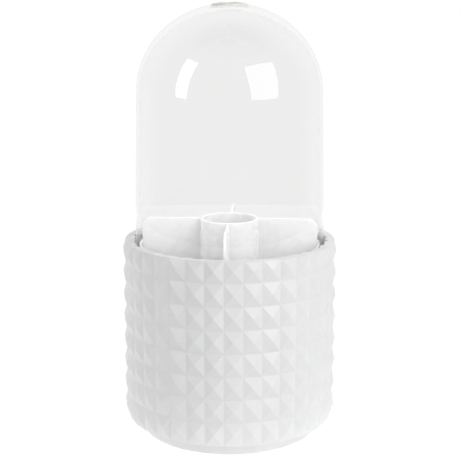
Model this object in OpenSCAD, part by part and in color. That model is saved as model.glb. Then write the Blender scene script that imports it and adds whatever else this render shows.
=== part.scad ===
// Rotating dustproof make-up organizer: a studded bucket that turns on a ball-bearing base,
// a lift-out cup with a five-slot divider, and a clear bullet-shaped lid.
// Millimetres, +Z up. The origin is on the table, on the turning axis.

/* [Bucket] */
// Overall diameter across the stud tips
bucket_d = 140; // [110:1:180]
// Number of stud columns around the bucket
stud_columns = 36; // [24:1:48]
// Number of stud rows
stud_rows = 8; // [5:1:10]
// Height of one row of studs
row_h = 14.78; // [10:0.01:20]
// How much taller the lowest row is than the others
foot_drop = 0.8; // [0:0.1:5]
// How far a stud stands out of the wall
stud_h = 2.0; // [1:0.1:3.5]
// Height of the stud's tip as a share of its row
tip_share = 0.51; // [0.4:0.01:0.6]
// Height that the rim trims off the top row
rim_trim = 0.9; // [0.4:0.1:4]
// Wall of the bucket
bucket_wall = 2.2; // [1.4:0.1:3]
// Floor of the bucket
bucket_floor = 2.5; // [1.6:0.1:4]
// How far the bucket's lower edge draws in
toe_in = 0.6; // [0:0.1:4]
// Height of the lip around the rim's opening
lip_h = 3; // [2:0.1:6]
// How far the lip's teeth reach in from the wall
tooth_reach = 3.5; // [2.5:0.1:4]
// Depth of the notches between the lip's teeth
notch_depth = 2; // [1:0.1:2.5]
// Turn of the stud pattern about the axis, in degrees
stud_turn = -2.95; // [-5:0.05:5]

/* [Base] */
// How far the base's side lies inside the bucket's stud tips
base_inset = 12; // [9:0.5:20]
// Height of the base without its feet
base_h = 9.1; // [8:0.1:14]
// Wall of the base's skirt
base_wall = 2.4; // [1.6:0.1:3]
// Floor of the base
base_floor = 2.5; // [2:0.1:3]
// Radius of the skirt's lower edge
base_edge_r = 1.5; // [0.5:0.1:2.4]
// Running gap between the base and the bucket
turn_gap = 0.5; // [0.3:0.1:1]

/* [Feet] */
// Diameter of a foot
foot_d = 12; // [8:0.5:14]
// Thickness of a foot
foot_t = 2.3; // [1.5:0.1:2.6]
// How far a foot stands out of the base
foot_proud = 0.8; // [0.5:0.1:1.2]
// How far the middles of the feet lie inside the base's side
foot_inset = 11.5; // [10.5:0.5:14]
// Gap around a foot in its pocket
foot_gap = 0.1; // [0.05:0.05:0.3]
// Radius of a foot's lower edge
foot_edge_r = 0.5; // [0.2:0.1:0.8]

/* [Bearing] */
// Diameter of a bearing ball
ball_d = 4; // [3:0.5:5]
// Number of bearing balls
ball_count = 12; // [6:1:20]
// Diameter of the circle that the balls run on
ball_circle_d = 64; // [50:1:66]
// Depth of each race groove
race_depth = 0.6; // [0.3:0.1:0.8]
// Gap between a ball and a race
race_gap = 0.05; // [0.02:0.01:0.1]
// Width of each raised race ring
race_w = 8; // [6:0.5:10]
// Thickness of the ball cage
cage_t = 1.6; // [1:0.1:1.8]
// Width of the ball cage
cage_w = 7; // [6:0.5:9]
// Gap between a ball and its pocket in the cage
cage_gap = 0.15; // [0.1:0.05:0.3]

/* [Pivot] */
// Diameter of the pivot bolt
pivot_d = 4; // [3:0.5:5]
// Radial gap between the pivot bolt and the hub
pivot_gap = 0.05; // [0.02:0.01:0.1]
// Diameter of the bolt's head
pivot_head_d = 8; // [6.5:0.5:9]
// Height of the bolt's head
pivot_head_h = 1.8; // [1.4:0.1:2]
// Diameter of the washer
washer_d = 10; // [9:0.5:11]
// Thickness of the washer
washer_t = 0.8; // [0.5:0.1:1]
// Gap around the washer in its pocket
washer_gap = 0.5; // [0.2:0.1:0.8]
// Width of the nut across its flats
nut_w = 7; // [6.5:0.5:8]
// Thickness of the nut
nut_t = 3; // [2.4:0.1:3.2]
// Gap between the nut and its pocket
nut_gap = 0.05; // [0.02:0.01:0.2]
// Diameter of the hub around the pivot
hub_d = 18; // [16:1:24]
// Gap between the base's hub and the plate's hub
hub_gap = 0.3; // [0.2:0.1:0.5]
// How far the bolt's ends lie inside the faces around them
bolt_sink = 0.1; // [0.1:0.1:0.3]

/* [Floor screws] */
// Number of screws that hold the bucket to the turntable plate
screw_count = 4; // [3:1:6]
// Diameter of a floor screw
screw_d = 3; // [2.5:0.5:4]
// Diameter of a floor screw's head
screw_head_d = 6; // [5:0.5:7]
// Height of a floor screw's head
screw_head_h = 1.8; // [1.2:0.1:2.2]
// Gap between a floor screw's head and the ring that the cup stands on
screw_inset = 2; // [1:0.1:4]
// Radial gap between a floor screw and its hole in the bucket's floor
screw_gap = 0.2; // [0.1:0.05:0.4]

/* [Turntable plate] */
// Thickness of the turntable plate
plate_t = 2.2; // [1.6:0.1:2.6]
// Gap between the plate's edge and the base's skirt
plate_gap = 1.5; // [0.5:0.1:3]
// Wall of the boss around a floor screw
boss_wall = 2; // [1.5:0.1:3]
// Gap between a screw boss and the base's floor
boss_gap = 1.9; // [0.5:0.1:2.5]
// Thickness of a boss below its pilot hole
boss_end = 0.5; // [0.4:0.1:1]

/* [Cup] */
// Wall of the cup
cup_wall = 1.8; // [1.2:0.1:2.4]
// Floor of the cup
cup_floor = 2; // [1.4:0.1:3]
// Height of the ring that the cup stands on
cup_foot_h = 2.6; // [2.4:0.1:5]
// Width of the ring that the cup stands on
cup_foot_w = 4; // [2:0.5:6]
// How much the cup narrows towards its floor, on the radius
cup_draft = 2.6; // [0:0.1:4]
// Depth of the cup's flange below the bucket's rim
flange_drop = 15; // [10:0.5:25]
// Thickness of the flange
flange_t = 2; // [1.5:0.1:3]
// Gap between the flange and the teeth of the bucket's lip
flange_gap = 1.5; // [0.8:0.1:2.5]
// How far the lid's foot reaches past the flange
lid_overhang = 1; // [0:0.1:1.3]
// Depth of the cup's top edge below the bucket's rim
collar_drop = 3; // [2:0.1:6]

/* [Divider] */
// Outer diameter of the divider's middle ring
ring_d = 38; // [30:1:50]
// Thickness of the divider's walls
divider_t = 1.8; // [1.2:0.1:2.4]
// How far the divider stands above the bucket's rim
divider_rise = 13.2; // [0:0.1:30]
// Number of fins around the middle ring
fin_count = 4; // [2:1:6]
// Radius of a fin's upper outer corner
fin_corner_r = 7; // [2:0.5:12]
// Gap between a fin and the cup's wall
fin_gap = 0.5; // [0.3:0.1:1]
// Thickness and depth of a guide rib beside a fin
guide_t = 1.4; // [1:0.1:2]
// Gap between a fin and its guide ribs
guide_gap = 0.3; // [0.2:0.05:0.5]

/* [Lid] */
// Wall of the lid
lid_wall = 2; // [1.4:0.1:3]
// Height of the lid's straight side
lid_side_h = 109.8; // [60:0.1:140]
// How much the side narrows over its height, on the radius
lid_draft = 2.35; // [0:0.05:4]
// Height of the lid's round crown above the side
crown_h = 56.1; // [30:0.1:70]
// Fullness of the crown: 2 is a true ellipse, more is squarer
crown_power = 2.03; // [1.9:0.01:2.6]
// Gap between the lid and the cup's collar
lid_gap = 0.5; // [0.3:0.1:1]

/* [Badge] */
// Diameter of the round badge on top
badge_d = 24; // [18:0.5:36]
// Thickness of the badge
badge_t = 3.9; // [3:0.1:6]
// How deep the badge sits in the lid
badge_sink = 1.8; // [0.5:0.1:2.2]
// Rise of the badge's domed face from its edge to its middle
badge_rise = 1.5; // [0.5:0.1:1.6]
// Gap around the badge in its seat
badge_gap = 0.1; // [0.05:0.05:0.3]
// Thickness of the lid under the badge
seat_t = 1.4; // [1:0.1:2]
// Width of the lid's flat land around the badge
land_w = 0.5; // [0.2:0.1:2]
// Width of the plain edge around the badge's raised ring
badge_edge_w = 0.8; // [0.4:0.1:2]
// Width of the raised ring on the badge
badge_ring_w = 1.4; // [0.6:0.1:2]
// Number of raised rays on the badge
ray_count = 24; // [8:1:36]
// Length of a ray
ray_l = 4.2; // [2:0.1:5]
// Width of a ray
ray_w = 0.8; // [0.4:0.1:1]
// Gap between the rays and the ring around them
ray_gap = 1; // [0.5:0.1:2]
// Height of the rays and of the ring around them
ray_h = 0.4; // [0.2:0.1:0.8]

/* [Hidden] */
foot_count = 4;
$fn = 96;
cut = 1;                  // how far a cutting tool runs past the face it opens
thread_gap = 0.02;        // gap between a thread and the hole it is cut in

// Heights of the base and the bearing, from the table up
base_z = foot_proud;
base_floor_z = base_z + base_floor;
ball_z = base_floor_z - race_depth + race_gap + ball_d / 2;
plate_race_z = 2 * ball_z - base_floor_z;
base_top_z = base_z + base_h;
bucket_z = base_top_z + turn_gap;
plate_z = bucket_z - plate_t;
boss_z = base_floor_z + boss_gap;
pilot_z = boss_z + boss_end;

// Heights of the bucket
bucket_floor_z = bucket_z + bucket_floor;
row_z = bucket_z + foot_drop;
rim_z = row_z + stud_rows * row_h - rim_trim;
lip_z = rim_z - lip_h;

// Radii of the bucket's wall
tip_r = bucket_d / 2;
base_r = tip_r - base_inset;
foot_circle_r = base_r - foot_inset;
half_column = 180 / stud_columns;
valley_r = (tip_r - stud_h) / cos(half_column);
bore_r = (valley_r - bucket_wall) * cos(half_column);
tooth_r = bore_r - tooth_reach;
race_r = ball_circle_d / 2;

// Pivot, from the base's underside up
head_z = base_z + bolt_sink;
washer_z = head_z + pivot_head_h;
hub_seat_z = washer_z + washer_t + race_gap;
hub_top_z = plate_race_z - hub_gap;
nut_z = bucket_z - bolt_sink - nut_t;

// Lid
flange_r = tooth_r - flange_gap;
lid_z = rim_z - flange_drop;
lid_r = flange_r + lid_overhang;
lid_bore_r = lid_r - lid_wall;
crown_z = lid_z + lid_side_h;
crown_r = lid_r - lid_draft;
land_r = badge_d / 2 + badge_gap + land_w;
land_turn = acos(pow(land_r / crown_r, crown_power / 2));
land_z = crown_z + crown_h * pow(sin(land_turn), 2 / crown_power);
badge_z = land_z - badge_sink;
badge_r = badge_d / 2;
inner_crown_h = badge_z - seat_t - crown_z;

// Cup
cup_z = bucket_floor_z;
cup_floor_z = cup_z + cup_foot_h;
cup_inside_z = cup_floor_z + cup_floor;
collar_r = lid_bore_r - lid_gap;
cup_foot_r = collar_r - cup_draft;
flange_z = lid_z - flange_t;
collar_z = rim_z - collar_drop;
screw_circle_r = cup_foot_r - cup_foot_w - screw_head_d / 2 - screw_inset;
function cup_outer_r(z) = cup_foot_r + cup_draft * (z - cup_z) / (lid_z - cup_z);
function cup_inner_r(z) = cup_outer_r(z) - cup_wall;

// Divider
divider_z = cup_inside_z;
divider_top_z = rim_z + divider_rise;
ring_r = ring_d / 2;

// Points of an arc about a centre, from one angle to another
function arc(centre, r, from, to, steps = 8) =
    [for (i = [0:steps]) let (a = from + (to - from) * i / steps)
        centre + r * [cos(a), sin(a)]];

// A curve of the crown: a superellipse from its equator up to a turn angle
function crown(a, b, from_z, last_turn, steps = 28) =
    [for (i = [0:steps]) let (t = last_turn * i / steps)
        [a * pow(cos(t), 2 / crown_power), from_z + b * pow(sin(t), 2 / crown_power)]];

// Copies of a piece on a circle
module around(count, r, turn = 0) {
    for (i = [0:count - 1])
        rotate(turn + i * 360 / count) translate([r, 0, 0]) children();
}

// A cylinder about the axis between two heights
module cylinder_at(low, high, r) {
    translate([0, 0, low]) cylinder(h = high - low, r = r);
}

// A torus-shaped race groove at the height of the ball centres
module race_groove() {
    rotate_extrude()
        translate([race_r, ball_z]) circle(ball_d / 2 + race_gap);
}

// A pan-head screw: its head sits on z = 0 and its shank points down
module pan_screw(shank_d, length, head_d, head_h) {
    edge_r = head_h * 0.6;
    recess = [head_d * 0.6, head_d * 0.12, head_h * 0.55];
    difference() {
        union() {
            rotate_extrude()
                polygon(concat([[0, 0], [head_d / 2, 0]],
                               arc([head_d / 2 - edge_r, head_h - edge_r], edge_r, 0, 90, 6),
                               [[0, head_h]]));
            translate([0, 0, -length]) cylinder(h = length, r = shank_d / 2);
        }
        for (a = [0, 90])
            rotate(a) translate([-recess.x / 2, -recess.y / 2, head_h - recess.z])
                cube([recess.x, recess.y, recess.z + cut]);
    }
}

module turntable_base() color("white") {
    difference() {
        union() {
            rotate_extrude()
                polygon(concat([[0, base_z]],
                               arc([base_r - base_edge_r, base_z + base_edge_r],
                                   base_edge_r, -90, 0),
                               [[base_r, base_top_z], [base_r - base_wall, base_top_z],
                                [base_r - base_wall, base_floor_z], [0, base_floor_z]]));
            cylinder_at(base_z, hub_top_z, hub_d / 2);
        }
        race_groove();
        cylinder_at(base_z - cut, hub_seat_z, washer_d / 2 + washer_gap);
        cylinder_at(base_z, hub_top_z + cut, pivot_d / 2 + pivot_gap);
        around(foot_count, foot_circle_r, 45)
            cylinder_at(base_z - cut, foot_t, foot_d / 2 + foot_gap);
    }
}

module rubber_foot(i) color("dimgray")
    rotate(45 + (i - 1) * 360 / foot_count) translate([foot_circle_r, 0, 0])
        rotate_extrude()
            polygon(concat([[0, 0]],
                           arc([foot_d / 2 - foot_edge_r, foot_edge_r], foot_edge_r, -90, 0, 4),
                           [[foot_d / 2, foot_t], [0, foot_t]]));

module ball_cage() color("gainsboro") {
    difference() {
        cylinder_at(ball_z - cage_t / 2, ball_z + cage_t / 2, race_r + cage_w / 2);
        cylinder_at(ball_z - cage_t, ball_z + cage_t, race_r - cage_w / 2);
        around(ball_count, race_r)
            cylinder_at(ball_z - cage_t, ball_z + cage_t, ball_d / 2 + cage_gap);
    }
}

module bearing_balls() color("silver")
    around(ball_count, race_r) translate([0, 0, ball_z]) sphere(ball_d / 2);

module turntable_plate() color("whitesmoke") {
    plate_r = base_r - base_wall - plate_gap;
    difference() {
        union() {
            cylinder_at(plate_z, bucket_z, plate_r);
            difference() {
                cylinder_at(plate_race_z, plate_z + cut, race_r + race_w / 2);
                cylinder_at(plate_race_z - cut, plate_z + cut * 2, race_r - race_w / 2);
            }
            cylinder_at(plate_race_z, plate_z + cut, hub_d / 2);
            around(screw_count, screw_circle_r)
                cylinder_at(boss_z, plate_z + cut, screw_d / 2 + boss_wall);
        }
        race_groove();
        cylinder_at(plate_race_z - cut, bucket_z, pivot_d / 2 + pivot_gap);
        translate([0, 0, nut_z])
            cylinder(h = nut_t + cut, r = (nut_w / 2 + nut_gap) / cos(30), $fn = 6);
        around(screw_count, screw_circle_r)
            cylinder_at(pilot_z, bucket_z + cut, screw_d / 2 + thread_gap);
    }
}

module pivot_bolt() color("silver")
    translate([0, 0, washer_z]) mirror([0, 0, 1])
        pan_screw(pivot_d, nut_z + nut_t - washer_z, pivot_head_d, pivot_head_h);

module pivot_washer() color("silver")
    difference() {
        cylinder_at(washer_z, washer_z + washer_t, washer_d / 2);
        cylinder_at(washer_z - cut, washer_z + washer_t + cut, pivot_d / 2 + pivot_gap);
    }

module pivot_nut() color("silver")
    difference() {
        translate([0, 0, nut_z]) cylinder(h = nut_t, r = nut_w / 2 / cos(30), $fn = 6);
        cylinder_at(nut_z - cut, nut_z + nut_t + cut, pivot_d / 2 + thread_gap);
    }

module floor_screws() color("silver")
    around(screw_count, screw_circle_r) translate([0, 0, bucket_floor_z])
        pan_screw(screw_d, bucket_floor_z - pilot_z - screw_gap, screw_head_d, screw_head_h);

// Direction of a valley between two columns of studs, and of the column that follows it
function valley_turn(c) = stud_turn - 90 + c * 2 * half_column;
function column_turn(c) = valley_turn(c + 0.5);

// Height of the boundary below a row; the lowest row is the tallest
function boundary_z(k) = k == 0 ? bucket_z : row_z + k * row_h;

// A point from its radius, its direction and its height
function polar(r, a, z) = [r * cos(a), r * sin(a), z];

// The corner of a stud: column, row boundary, and how far the skin lies inside the wall
function corner(c, k, inset) =
    polar(valley_r - inset - (k == 0 ? toe_in : 0), valley_turn(c), boundary_z(k));

// The tip of a stud
function tip(c, k, inset) =
    let (low = boundary_z(k), high = boundary_z(k + 1))
    polar(tip_r - inset, column_turn(c), low + tip_share * (high - low));

// A closed solid whose side is a skin of studs, four facets to a stud
module studded_solid(inset) {
    n = stud_columns;
    m = stud_rows;
    corners = [for (k = [0:m]) for (c = [0:n - 1]) corner(c, k, inset)];
    tips = [for (k = [0:m - 1]) for (c = [0:n - 1]) tip(c, k, inset)];
    first_tip = n * (m + 1);
    facets = [for (k = [0:m - 1]) for (c = [0:n - 1])
        let (a = k * n + c, b = k * n + (c + 1) % n, t = first_tip + k * n + c)
        each [[a, t, b], [b, t, b + n], [b + n, t, a + n], [a + n, t, a]]];
    floor_face = [for (c = [0:n - 1]) c];
    top_face = [for (c = [n - 1:-1:0]) m * n + c];
    polyhedron(concat(corners, tips), concat([floor_face], facets, [top_face]), convexity = 8);
}

module outer_shell() color("white") {
    difference() {
        studded_solid(0);
        intersection() {
            studded_solid(bucket_wall);
            cylinder_at(bucket_floor_z, lip_z, bucket_d);
        }
        lip_opening();
        cylinder_at(rim_z, rim_z + row_h, bucket_d);
        around(screw_count, screw_circle_r)
            cylinder_at(bucket_z - cut, bucket_floor_z + cut, screw_d / 2 + screw_gap);
    }
}

// The opening inside the lip: a tooth at each valley and a notch at each column
module lip_opening() {
    rim = [for (c = [0:stud_columns - 1])
        each [polar(tooth_r, valley_turn(c), 0), polar(tooth_r + notch_depth, column_turn(c), 0)]];
    translate([0, 0, lip_z - cut]) linear_extrude(lip_h + cut * 2)
        polygon([for (p = rim) [p.x, p.y]]);
}

module inner_cup() color("white") {
    rotate_extrude()
        polygon([[cup_foot_r - cup_foot_w, cup_z], [cup_foot_r, cup_z],
                 [cup_outer_r(flange_z), flange_z], [flange_r, flange_z], [flange_r, lid_z],
                 [collar_r, lid_z], [collar_r, collar_z], [collar_r - cup_wall, collar_z],
                 [cup_inner_r(lid_z), lid_z], [cup_inner_r(cup_inside_z), cup_inside_z],
                 [0, cup_inside_z], [0, cup_floor_z], [cup_foot_r - cup_foot_w, cup_floor_z]]);
    intersection() {
        cylinder_at(cup_floor_z, flange_z, cup_foot_r - cup_wall / 2);
        around(fin_count, 0, -90) guide_ribs();
    }
}

// The two ribs that hold a fin's edge, on either side of it
module guide_ribs() {
    for (side = [-1, 1])
        translate([cup_inner_r(cup_inside_z) - guide_t,
                   side * (divider_t / 2 + guide_gap) - (side < 0 ? guide_t : 0), cup_floor_z])
            cube([cup_foot_r, guide_t, flange_z - cup_floor_z]);
}

module divider_insert() color("white") {
    difference() {
        union() {
            cylinder_at(divider_z, divider_top_z, ring_r);
            around(fin_count, 0, -90) fin();
        }
        cylinder_at(divider_z - cut, divider_top_z + cut, ring_r - divider_t);
    }
}

// One fin: it runs out from the middle ring and follows the cup's wall
module fin() {
    foot_r = cup_inner_r(divider_z) - fin_gap;
    slope = (cup_inner_r(lid_z) - cup_inner_r(divider_z)) / (lid_z - divider_z);
    corner_z = divider_top_z - fin_corner_r;
    edge_r = foot_r + slope * (corner_z - divider_z);
    rotate([90, 0, 0]) translate([0, 0, -divider_t / 2]) linear_extrude(divider_t)
        polygon(concat([[ring_r - divider_t / 2, divider_z], [foot_r, divider_z]],
                       arc([edge_r - fin_corner_r, corner_z], fin_corner_r, 0, 90),
                       [[ring_r - divider_t / 2, divider_top_z]]));
}

module dome_lid() color([0.9, 0.94, 0.96, 0.35])
    rotate_extrude()
        polygon(concat([[lid_bore_r, lid_z], [lid_r, lid_z]],
                       crown(crown_r, crown_h, crown_z, land_turn),
                       [[badge_r + badge_gap, land_z], [badge_r + badge_gap, badge_z],
                        [0, badge_z], [0, badge_z - seat_t]],
                       reversed(crown(crown_r - lid_wall, inner_crown_h, crown_z, 88))));

// A list of points in reverse order
function reversed(points) = [for (i = [len(points) - 1:-1:0]) points[i]];

// A disc with a domed face, from the badge's seat up to a height at its middle
module domed_disc(r, top_z) {
    dome_r = (pow(badge_r, 2) + pow(badge_rise, 2)) / (2 * badge_rise);
    rotate_extrude()
        polygon(concat([[0, badge_z], [r, badge_z]],
                       arc([0, top_z - dome_r], dome_r, acos(r / dome_r), 90, 16)));
}

module lid_badge() color("ivory") {
    top_z = badge_z + badge_t;
    ring_r = badge_r - badge_edge_w;
    rays_r = ring_r - badge_ring_w - ray_gap;
    domed_disc(badge_r, top_z - ray_h);
    difference() {
        domed_disc(ring_r, top_z);
        cylinder_at(badge_z - cut, top_z + cut, ring_r - badge_ring_w);
    }
    intersection() {
        domed_disc(rays_r, top_z);
        around(ray_count, rays_r - ray_l) translate([0, -ray_w / 2, badge_z])
            cube([ray_l + cut, ray_w, badge_t]);
    }
}

turntable_base();
for (i = [1:foot_count])
    rubber_foot(i);
ball_cage();
bearing_balls();
turntable_plate();
pivot_bolt();
pivot_washer();
pivot_nut();
floor_screws();
outer_shell();
inner_cup();
divider_insert();
dome_lid();
lid_badge();
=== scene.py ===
import math

import bmesh
import bpy
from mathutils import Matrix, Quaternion, Vector
from mathutils.geometry import barycentric_transform, intersect_line_line_2d


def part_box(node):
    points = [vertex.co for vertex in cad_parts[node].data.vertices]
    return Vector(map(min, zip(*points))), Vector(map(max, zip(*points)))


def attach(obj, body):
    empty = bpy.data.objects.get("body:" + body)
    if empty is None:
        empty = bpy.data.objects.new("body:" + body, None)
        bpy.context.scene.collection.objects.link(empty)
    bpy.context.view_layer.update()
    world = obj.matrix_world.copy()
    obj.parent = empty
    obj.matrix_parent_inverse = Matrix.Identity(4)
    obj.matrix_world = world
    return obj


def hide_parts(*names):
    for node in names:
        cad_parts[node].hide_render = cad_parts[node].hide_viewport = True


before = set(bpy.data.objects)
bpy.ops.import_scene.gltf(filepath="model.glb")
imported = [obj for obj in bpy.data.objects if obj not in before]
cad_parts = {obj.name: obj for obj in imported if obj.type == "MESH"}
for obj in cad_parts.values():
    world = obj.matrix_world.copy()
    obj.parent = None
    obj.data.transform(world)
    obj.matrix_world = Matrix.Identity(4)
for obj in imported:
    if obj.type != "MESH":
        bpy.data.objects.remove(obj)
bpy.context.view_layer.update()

MM = 0.001
QUARTER = math.pi / 2


# ---------------------------------------------------------------- camera
IMAGE_PX = 460
FOCAL_PX = 1115.3
SENSOR = 36.0
CAMERA_PLACE = (0.25 * MM, -715.7 * MM, 284.96 * MM)
CAMERA_PITCH = math.radians(11.95)

camera_data = bpy.data.cameras.new("camera")
camera_data.sensor_width = SENSOR
camera_data.lens = FOCAL_PX / IMAGE_PX * SENSOR
camera_data.clip_start = 0.05
camera = bpy.data.objects.new("camera", camera_data)
camera.location = CAMERA_PLACE
camera.rotation_euler = (QUARTER - CAMERA_PITCH, 0, 0)
bpy.context.scene.collection.objects.link(camera)
bpy.context.scene.camera = camera


# ---------------------------------------------------------------- sizes
def reach(node):
    """The largest distance of a CAD node from the turning axis."""
    return max(math.hypot(v.co.x, v.co.y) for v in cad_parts[node].data.vertices)


def heights(node):
    """The lowest and the highest point of a CAD node."""
    low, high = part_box(node)
    return low.z, high.z


# Bucket
BUCKET_Z, RIM_Z = heights("outer_shell")
TIP_R = reach("outer_shell")
COLUMNS, ROWS = 36, 8
ROW_H = 14.78 * MM
FOOT_DROP = 0.8 * MM
ROW_Z = BUCKET_Z + FOOT_DROP
STUD_H = 2.0 * MM
TIP_SHARE = 0.51
BUCKET_WALL = 2.2 * MM
BUCKET_FLOOR = 2.5 * MM
TOE_IN = 0.6 * MM
TURN = math.radians(-2.95)
HALF_COLUMN = math.pi / COLUMNS
FLAT_R = TIP_R - STUD_H
COLUMN_W = 2 * FLAT_R * math.tan(HALF_COLUMN)
RIDGE_SOFT = 0.22 * MM
VALLEY_SOFT = 0.22 * MM
LIP_SOFT = 0.4 * MM
LIP_Z = RIM_Z - 3 * MM
TOOTH_REACH = 3.5 * MM
NOTCH_DEPTH = 2 * MM
TOOTH_STEPS = 12
LIP_STEPS = 3
BUCKET_FLOOR_Z = BUCKET_Z + BUCKET_FLOOR
TOOTH_R = FLAT_R - BUCKET_WALL * math.cos(HALF_COLUMN) - TOOTH_REACH

# Base
BASE_Z, BASE_TOP_Z = heights("turntable_base")
BASE_R = reach("turntable_base")
BASE_WALL = 2.4 * MM
BASE_FLOOR_Z = BASE_Z + 2.5 * MM
BASE_EDGE = 1.5 * MM
HUB_R = 9 * MM
HUB_TOP_Z = 5.9 * MM
PIVOT_R = 2.05 * MM
WASHER_POCKET_R = 5.5 * MM
WASHER_POCKET_Z = 3.65 * MM
RACE_R = 32 * MM
RACE_GROOVE = 2.05 * MM
BALL_Z = sum(heights("bearing_balls")) / 2
FOOT_POCKET_R = 6.1 * MM
FOOT_CIRCLE_R = 46.5 * MM
FOOT_TOP_Z = heights("rubber_foot_1")[1]
FEET = 4

# Cup
CUP_Z, COLLAR_Z = heights("inner_cup")
FLANGE_R = reach("inner_cup")
CUP_WALL = 1.8 * MM
CUP_FOOT_H = 2.6 * MM
CUP_FOOT_W = 4 * MM
CUP_FLOOR = 2 * MM
CUP_DRAFT = 2.6 * MM
FLANGE_T = 2 * MM
LID_GAP = 0.5 * MM
GUIDE_T = 1.4 * MM
GUIDE_SOFT = 0.25 * MM
GUIDE_GAP = 0.3 * MM

# Divider
DIVIDER_Z, DIVIDER_TOP_Z = heights("divider_insert")
RING_R = 19 * MM
DIVIDER_T = 1.8 * MM
FINS = 4
FIN_CORNER = 7 * MM
FIN_GAP = 0.5 * MM
FIN_SOFT = 0.4 * MM

# Lid
LID_Z, LAND_Z = heights("dome_lid")
LID_R = reach("dome_lid")
LID_WALL = 2 * MM
LID_SIDE = 109.8 * MM
LID_DRAFT = 2.35 * MM
CROWN_H = 56.1 * MM
CROWN_POWER = 2.03
CROWN_Z = LID_Z + LID_SIDE
CROWN_R = LID_R - LID_DRAFT
CROWN_STEPS = 72
INNER_CROWN_TURN = math.radians(88.5)

# Badge
BADGE_Z = heights("lid_badge")[0]
BADGE_T = 3.88 * MM
BADGE_SUMMIT = BADGE_Z + BADGE_T
BADGE_R = reach("lid_badge")
BADGE_GAP = 0.1 * MM
BADGE_CLEARANCE = 0.05 * MM
BADGE_LAND = 0.5 * MM
BADGE_RISE = 1.5 * MM
BADGE_SEAT_T = 1.4 * MM
RELIEF = 0.4 * MM
RAYS = 24
RAY_L = 4.2 * MM
RAY_W = 0.8 * MM
RAY_GAP = 1 * MM
RAY_SOFT = 0.15 * MM
BADGE_EDGE_W = 0.8 * MM
BADGE_RING_W = 1.4 * MM
STROKES = 56
STROKE_L = 1 * MM
STROKE_Z = BADGE_Z + 1.2 * MM
STROKE_SHARE = 0.45

# Cup sizes that follow from the lid
COLLAR_R = LID_R - LID_WALL - LID_GAP
CUP_FOOT_R = COLLAR_R - CUP_DRAFT
CUP_INSIDE_Z = CUP_Z + CUP_FOOT_H + CUP_FLOOR
FLANGE_Z = LID_Z - FLANGE_T


# ---------------------------------------------------------------- materials
# The Mix node's sockets for colours; others of the same names serve its other kinds of data
MIX_FACTOR, MIX_A, MIX_B, MIX_RESULT = 0, 6, 7, 2
# Levels of a stud, stored on its vertices
VALLEY, FACET, RIDGE = 0, 0.5, 1
# Share of painted shade that darkens a stud's valleys at their bottom
VALLEY_SHADE = 0.6
# Drift of tone and gloss as shares, and the sizes of their patches
TONE_DRIFT, TONE_PATCH = 0.02, 22 * MM
GLOSS_DRIFT, GLOSS_PATCH = 0.12, 6 * MM
WAVE_SIZE, WAVE_DEPTH = 9 * MM, 0.008 * MM
LID_TINT = (0.943, 0.942, 0.941, 1)
LID_SHADOW = (0.95, 0.95, 0.95, 1)
LID_IOR, COAT_IOR = 1.005, 1.49
METAL_DULL, SMUDGE, BRUSH_DEPTH = 0.93, 0.3, 0.004 * MM
PEBBLE_SIZE, PEBBLE_DEPTH = 0.35 * MM, 0.02 * MM


def start_material(name):
    """A new material with a Principled shader on its output: the material, its tree and the shader."""
    material = bpy.data.materials.new(name)
    material.use_nodes = True
    tree = material.node_tree
    tree.nodes.clear()
    shader = tree.nodes.new("ShaderNodeBsdfPrincipled")
    output = tree.nodes.new("ShaderNodeOutputMaterial")
    tree.links.new(shader.outputs["BSDF"], output.inputs["Surface"])
    return material, tree, shader


def node(tree, kind, settings=None, **values):
    """A node with its settings made and its inputs filled by a socket or a plain value."""
    made = tree.nodes.new(kind)
    for key, value in (settings or {}).items():
        setattr(made, key, value)
    fill_named(tree, made, **values)
    return made


def fill_named(tree, made, **values):
    """Fills a node's inputs by name; an underscore stands for a blank."""
    for label, value in values.items():
        fill(tree, made.inputs[label.replace("_", " ")], value)


def fill(tree, socket, value):
    """Links a socket to an input, or sets it to a plain value."""
    if isinstance(value, bpy.types.NodeSocket):
        tree.links.new(value, socket)
    else:
        socket.default_value = value


def calc(tree, operation, *values):
    """One step of arithmetic on sockets or numbers."""
    made = tree.nodes.new("ShaderNodeMath")
    made.operation = operation
    for socket, value in zip(made.inputs, values):
        fill(tree, socket, value)
    return made.outputs[0]


def mixed(tree, factor, first, second):
    """A shader between two others."""
    mix = tree.nodes.new("ShaderNodeMixShader")
    fill(tree, mix.inputs[0], factor)
    tree.links.new(first.outputs[0], mix.inputs[1])
    tree.links.new(second.outputs[0], mix.inputs[2])
    return mix


def noise(tree, size, detail=2.0):
    """Noise on Object coordinates whose blotches are about one size across."""
    place = tree.nodes.new("ShaderNodeTexCoord").outputs["Object"]
    mapping = node(tree, "ShaderNodeMapping", Vector=place, Scale=[1 / size] * 3)
    return node(tree, "ShaderNodeTexNoise", Vector=mapping.outputs["Vector"], Scale=1.0,
                Detail=detail).outputs["Fac"]


def spread(tree, value, low, high, inside=(0.35, 0.65)):
    """A value that runs inside two limits, spread over the results from low to high.
    The limits left out are those of noise."""
    return node(tree, "ShaderNodeMapRange", Value=value, From_Min=inside[0], From_Max=inside[1],
                To_Min=low, To_Max=high).outputs["Result"]


def blend_colours(tree, factor, first, second):
    """A colour between two others, each a socket or three plain numbers."""
    made = node(tree, "ShaderNodeMix", {"data_type": "RGBA"})
    fill(tree, made.inputs[MIX_FACTOR], factor)
    for socket, colour in ((made.inputs[MIX_A], first), (made.inputs[MIX_B], second)):
        fill(tree, socket, colour if isinstance(colour, bpy.types.NodeSocket) else (*colour, 1))
    return made.outputs[MIX_RESULT]


def bump(tree, shader, layers):
    """Relief on a shader: layers of (height, depth in metres), one on top of the other."""
    below = {}
    for height, depth in layers:
        relief = node(tree, "ShaderNodeBump", Strength=1.0, Distance=depth, Height=height, **below)
        below = {"Normal": relief.outputs["Normal"]}
    fill_named(tree, shader, **below)


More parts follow.
